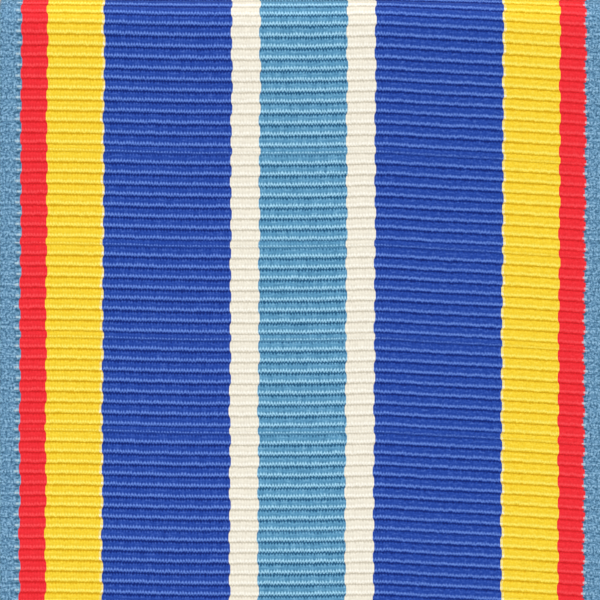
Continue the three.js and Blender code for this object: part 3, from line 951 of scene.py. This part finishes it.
def make_catch_base():
    wall = [(CRADLE_INNER, -CRADLE_HALF), (CRADLE_INNER, CRADLE_HALF)]
    wall += [(CRADLE_OUTER, CRADLE_HALF), (CRADLE_OUTER, -CRADLE_HALF)]
    cradle = split_barrel(round_corners(wall, 0.12), CRADLE_HALF_SLOT)
    neck_top = PIN_Y - CRADLE_INNER - 0.1
    neck = rounded_box((CATCH_X - CRADLE_HALF, 0.6, -1.0), (CATCH_X + CRADLE_HALF, neck_top, 1.0), 0.12)
    foot = rounded_box((CATCH_X - 1.5, 0.3, -1.8), (CATCH_X + 1.5, 0.9, 1.8), 0.14)
    return make_object("catch_cradle", *joined(cradle, neck, foot), GILT_FITTING)


def make_sleeve():
    spool = [
        (SLEEVE_BORE, SLEEVE_HALF),
        (SLEEVE_COLLAR, SLEEVE_HALF),
        (SLEEVE_COLLAR, BARREL_HALF),
        (SLEEVE_RADIUS, BARREL_HALF),
    ]
    spool += [(radius, -x) for radius, x in reversed(spool)]
    barrel = split_barrel(round_corners(spool, 0.13), SLEEVE_HALF_SLOT)
    # Finger tab: a rounded blade that stands out from the outer collar.
    low, half_thick = SLEEVE_RADIUS - 0.1, 0.22
    middle = ((low + TAB_REACH) / 2, 0.0)
    rings = []
    for off, inset in ((-1, 0.1), (-0.8, 0.03), (-0.6, 0), (0.6, 0), (0.8, 0.03), (1, 0.1)):
        ring = rounded_ring(middle, (TAB_REACH - low) / 2 - inset, 0.6 - inset, 0.3, 0.0, 8)
        out, aside = ring[:, 0], ring[:, 1]
        x = CATCH_X - (BARREL_HALF + SLEEVE_HALF) / 2 + off * half_thick
        y = PIN_Y + out * math.cos(TAB_ANGLE) - aside * math.sin(TAB_ANGLE)
        z = out * math.sin(TAB_ANGLE) + aside * math.cos(TAB_ANGLE)
        rings.append(np.stack([np.full_like(y, x), y, z], -1))
    return make_object("catch_sleeve_turned", *joined(barrel, loft(rings)), GILT_FITTING)


for made, node, body in (
    (make_catch_base(), "catch_base", "brooch"),
    (make_sleeve(), "catch_sleeve", "catch"),
):
    weld_and_bevel(made, 0.05, 2)
    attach(made, body)
    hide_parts(node)

# ---- ring ----

WIRE_RADIUS = 0.7
RING_WIDTH = 14.4
RING_HEIGHT = 7.2
RING_CORNER = 1.3


def make_ring():
    half, drop = RING_WIDTH / 2, RING_HEIGHT - RING_CORNER
    corner_z = RING_Z - RING_CORNER
    corner = np.linspace(np.pi / 2, 0, 10)
    right = [(half + RING_CORNER * (math.cos(a) - 1), corner_z + RING_CORNER * math.sin(a)) for a in corner]
    bow = [(half * math.cos(a), corner_z + drop * math.sin(a)) for a in np.linspace(0, -np.pi, 66)[1:-1]]
    left = [(-x, z) for x, z in reversed(right)]
    top = [(x, RING_Z) for x in np.linspace(-half + RING_CORNER, half - RING_CORNER, 14)[1:-1]]
    centres = np.array([(x, HANG_Y, z) for x, z in right + bow + left + top])
    return make_object("wire_ring", *tube(centres, WIRE_RADIUS, 28, closed=True), GILT_FITTING)


ring = make_ring()
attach(ring, "ring")
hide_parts("suspension_ring")

# ---- disc: rim, beads, laurel wreath, rays and star, with a plain tablet on the back ----

DISC_RADIUS = 15.875
DISC_Z = -77.875
RIM_HALF = 1.3
FIELD_HALF = 0.8
RIM_INNER = 14.45
BEAD_RADIUS = 13.72
STAR_RADIUS = 8.2
WREATH_RADIUS = 11.15
EDGE_ROUND = 0.34
BEADS = 132
RAYS = 90
EYELET_Z = -59.2
FOOT_TOP = -61.3
# Height, half width and half depth up the braze that joins the eyelet's loop to the foot.
NECK = ((-61.42, 1.2, 0.85), (-61.3, 1.0, 0.78), (-61.1, 0.82, 0.7), (-60.6, 0.72, 0.62))


def leaf(x, z, place, heading, length, width, rise):
    """Height of one laurel leaf over the field: a pointed dome with a creased midrib."""
    dx, dz = x - place[0], z - place[1]
    along = (dx * math.cos(heading) + dz * math.sin(heading)) / length
    aside = (-dx * math.sin(heading) + dz * math.cos(heading)) / width
    shape = np.clip(1 - np.abs(along) ** 1.7, 0, 1)
    inside = np.clip(1 - (aside / np.maximum(shape, 1e-3)) ** 2, 0, 1) * (np.abs(along) < 1)
    dome = rise * np.sqrt(inside) * (0.55 + 0.45 * shape)
    crease = 0.3 * rise * np.exp(-((aside / 0.14) ** 2)) * (inside > 0)
    return np.where(inside > 0, np.maximum(dome - crease, 0), 0)


def wreath(x, z, radius, sprays, length, width, rise, start=12.0, stop=162.0):
    """Two laurel branches that rise from the foot of the disc and nearly meet at its head."""
    height = np.zeros_like(x)
    for side in (-1, 1):
        for step in range(sprays):
            turn = math.radians(-90 + side * (start + (stop - start) * step / (sprays - 1)))
            way = turn + side * math.pi / 2
            for out in (-1, 0, 1):
                lean = way - side * out * 0.62
                spread = radius + out * length * 0.42
                place = (spread * math.cos(turn), spread * math.sin(turn))
                size = 1.0 if out else 0.9
                drawn = leaf(x, z, place, lean, length * size, width * size, rise * (1.0 if out else 1.12))
                height = np.maximum(height, drawn)
            berry_turn = turn + side * 0.055
            for out in (-1, 1):
                spread = radius + out * length * 0.78
                away = np.hypot(x - spread * math.cos(berry_turn), z - spread * math.sin(berry_turn))
                height = np.maximum(height, rise * 0.9 * np.sqrt(np.clip(1 - (away / 0.26) ** 2, 0, 1)))
    return height


def star(x, z, radius, rise, points=5):
    """A faceted star, its arms creased along their middles."""
    sector = 2 * np.pi / points
    turn = (np.arctan2(z, x) - np.pi / 2) % sector
    turn = np.minimum(turn, sector - turn)
    distance = np.hypot(x, z)
    inner = 0.382 * radius
    # The line from an arm's tip to the next notch, and the depth inside it.
    edge = inner * np.array([math.cos(sector / 2), math.sin(sector / 2)]) - np.array([radius, 0.0])
    normal = np.array([-edge[1], edge[0]]) / np.hypot(*edge)
    depth = (distance * np.cos(turn) - radius) * normal[0] + distance * np.sin(turn) * normal[1]
    return rise * np.clip(depth / abs(radius * normal[0]), 0, 1), depth > 0


def rim_and_beads(r, turn):
    rim = (RIM_HALF - FIELD_HALF) * ease(r, RIM_INNER - 0.45, RIM_INNER - 0.05)
    rim = rim - 0.09 * np.exp(-(((r - (RIM_INNER + 0.62)) / 0.12) ** 2))
    step = 2 * np.pi / BEADS
    off = ((turn + step / 2) % step - step / 2) * BEAD_RADIUS
    away = np.hypot(off, r - BEAD_RADIUS)
    bead = 0.24 * np.sqrt(np.clip(1 - (away / 0.31) ** 2, 0, 1))
    return np.maximum(rim, bead * (r < RIM_INNER - 0.3))


def front_relief(x, z, r, turn):
    height = rim_and_beads(r, turn)
    height = np.maximum(height, 0.1 * np.exp(-(((r - 13.1) / 0.1) ** 2)))
    height = np.maximum(height, wreath(x, z, WREATH_RADIUS, 15, 1.28, 0.5, 0.36))
    # Crossed band that ties the two branches at the foot.
    for tilt in (0.5, -0.5):
        up = z + WREATH_RADIUS
        across = up * math.cos(tilt) - x * math.sin(tilt)
        along = x * math.cos(tilt) + up * math.sin(tilt)
        band = np.clip(1 - (across / 0.34) ** 2, 0, 1) * (np.abs(along) < 1.35)
        height = np.maximum(height, 0.4 * np.sqrt(band))
    rays = 0.5 + 0.5 * np.cos(turn * RAYS)
    ends = 8.9 - 0.55 * (np.round(turn * RAYS / (2 * np.pi)) % 2)
    height = np.maximum(height, 0.11 * rays**0.7 * ease(r, ends + 0.15, ends - 0.35))
    facets, inside = star(x, z, STAR_RADIUS, 0.5)
    return np.where(inside, 0.14 + facets * 0.78, height)


def back_relief(x, z, r, turn):
    height = rim_and_beads(r, turn)
    height = np.maximum(height, 0.1 * np.exp(-(((r - 12.9) / 0.1) ** 2)))
    # A blank tablet to engrave, between two laurel sprays.
    dx = np.maximum(np.abs(x) - 6.6, 0)
    dz = np.maximum(np.abs(z - 0.6) - 1.6, 0)
    border = np.hypot(dx, dz)
    tablet = 0.26 * ease(border, 0.95, 0.7) - 0.1 * ease(border, 0.45, 0.3)
    height = np.maximum(height, tablet)
    height = np.maximum(height, wreath(x, z, 9.7, 6, 1.25, 0.48, 0.32, 14.0, 62.0))
    small, inside = star(x, z - 7.6, 2.3, 0.34)
    return np.where(inside, 0.08 + small, height)


def hollowness(height):
    """Where the relief lies below its surroundings, and old polish is left."""
    wide = height
    for _ in range(7):
        wide = (wide + np.roll(wide, 1, 1) + np.roll(wide, -1, 1)) / 3
        inner = np.vstack([wide[:1], wide[:-1]])
        outer = np.vstack([wide[1:], wide[-1:]])
        wide = (wide + inner + outer) / 3
    return np.clip((wide - height) / 0.07 + 0.1, 0, 1)


def make_disc():
    rings, around = 112, 400
    turn = 2 * np.pi * np.arange(around) / around
    flat_edge = DISC_RADIUS - EDGE_ROUND
    r, t = np.meshgrid(flat_edge * np.linspace(0, 1, rings)[1:] ** 0.86, turn, indexing="ij")
    x, z = r * np.cos(t), r * np.sin(t)
    front, back = front_relief(x, z, r, t), back_relief(x, z, r, t)
    # Out over the back, round the edge, and in over the front.
    lines = list(np.stack([x, HANG_Y + FIELD_HALF + back, z + DISC_Z], -1))
    bend = np.linspace(0, np.pi / 2, 5)[1:]
    edge = [(a, 1) for a in bend] + [(a, -1) for a in bend[::-1]]
    for a, side in edge:
        radius = flat_edge + EDGE_ROUND * math.sin(a)
        y = np.full(around, HANG_Y + side * (RIM_HALF - EDGE_ROUND * (1 - math.cos(a))))
        lines.append(np.stack([radius * np.cos(turn), y, radius * np.sin(turn) + DISC_Z], -1))
    lines += list(np.stack([x, HANG_Y - FIELD_HALF - front, z + DISC_Z], -1)[::-1])
    foot = rounded_box((-1.6, -1.7, -62.6), (1.6, 0.3, FOOT_TOP), 0.3)
    plain = np.zeros(len(edge) * around), np.zeros(len(foot[0]))
    dark = [hollowness(back).ravel(), plain[0], hollowness(front)[::-1].ravel(), plain[1]]
    return make_object("struck_disc", *joined(loft(lines), foot), BRONZE, {"recess": np.concatenate(dark)})


def make_eyelet():
    loop = lathe(rounded_profile(1.1, 1.8, 0.85, 0.3), "x", (0, HANG_Y, EYELET_Z), 64)
    neck = [rounded_ring((0, HANG_Y), half_x, half_y, 0.4, z) for z, half_x, half_y in NECK]
    return make_object("eyelet", *joined(loop, loft(neck)), BRONZE_FITTING)


disc = make_disc()
eyelet = make_eyelet()
for made, node in ((disc, "planchet"), (eyelet, "planchet_eyelet")):
    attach(made, "medal")
    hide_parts(node)

# ---- floor and light ----


def floor_material():
    n = Nodes("floor")
    mottled = n.noise(n.position(), 0.02, 3.0)
    return n.finish(n.mix(mottled, linear((226, 224, 220)), linear((236, 234, 230))), 0.8)


FLOOR_Z = -118.0
FLOOR_RADIUS = 1300.0
COVE_RADIUS = 1100.0


def make_floor():
    """A round floor that curves up on every side, so that no view shows an edge."""
    bend = np.linspace(0, 1.25, 14)
    radii = np.concatenate([[0.02], FLOOR_RADIUS + COVE_RADIUS * np.sin(bend)])
    height = FLOOR_Z + np.concatenate([[0], COVE_RADIUS * (1 - np.cos(bend))])
    turn = 2 * np.pi * np.arange(96) / 96
    r, t = np.meshgrid(radii, turn, indexing="ij")
    z = np.broadcast_to(height[:, None], r.shape)
    vertices = np.stack([r * np.cos(t), r * np.sin(t), z], -1).reshape(-1, 3)
    return make_object("floor", vertices, grid_faces(*r.shape), floor_material())


make_floor()


MIDDLE = Vector((0.0, 0.0, -0.045))


def area_light(name, place, width, height, power):
    """A rectangular light aimed at the medal's middle, its place and size in metres."""
    light = bpy.data.lights.new(name, "AREA")
    light.shape = "RECTANGLE"
    light.size = width
    light.size_y = height
    light.energy = power
    made = bpy.data.objects.new(name, light)
    bpy.context.scene.collection.objects.link(made)
    made.location = place
    made.rotation_euler = (MIDDLE - Vector(place)).to_track_quat("-Z", "Y").to_euler()


area_light("key", (-0.18, -0.93, 0.27), 0.62, 0.34, 2.7)
area_light("fill", (0.75, -0.75, 0.28), 0.5, 0.35, 1.15)
area_light("overhead", (0.0, -0.05, 0.6), 0.5, 0.5, 3.2)
area_light("back_left", (-0.45, 0.5, 0.25), 0.45, 0.45, 1.3)
area_light("back_right", (0.75, 0.68, 0.28), 0.5, 0.35, 1.8)

world = bpy.data.worlds.new("studio")
bpy.context.scene.world = world
world.use_nodes = True
background = world.node_tree.nodes["Background"]
background.inputs["Color"].default_value = (0.86, 0.87, 0.88, 1)
background.inputs["Strength"].default_value = 0.54
bpy.context.scene.view_settings.view_transform = "Standard"
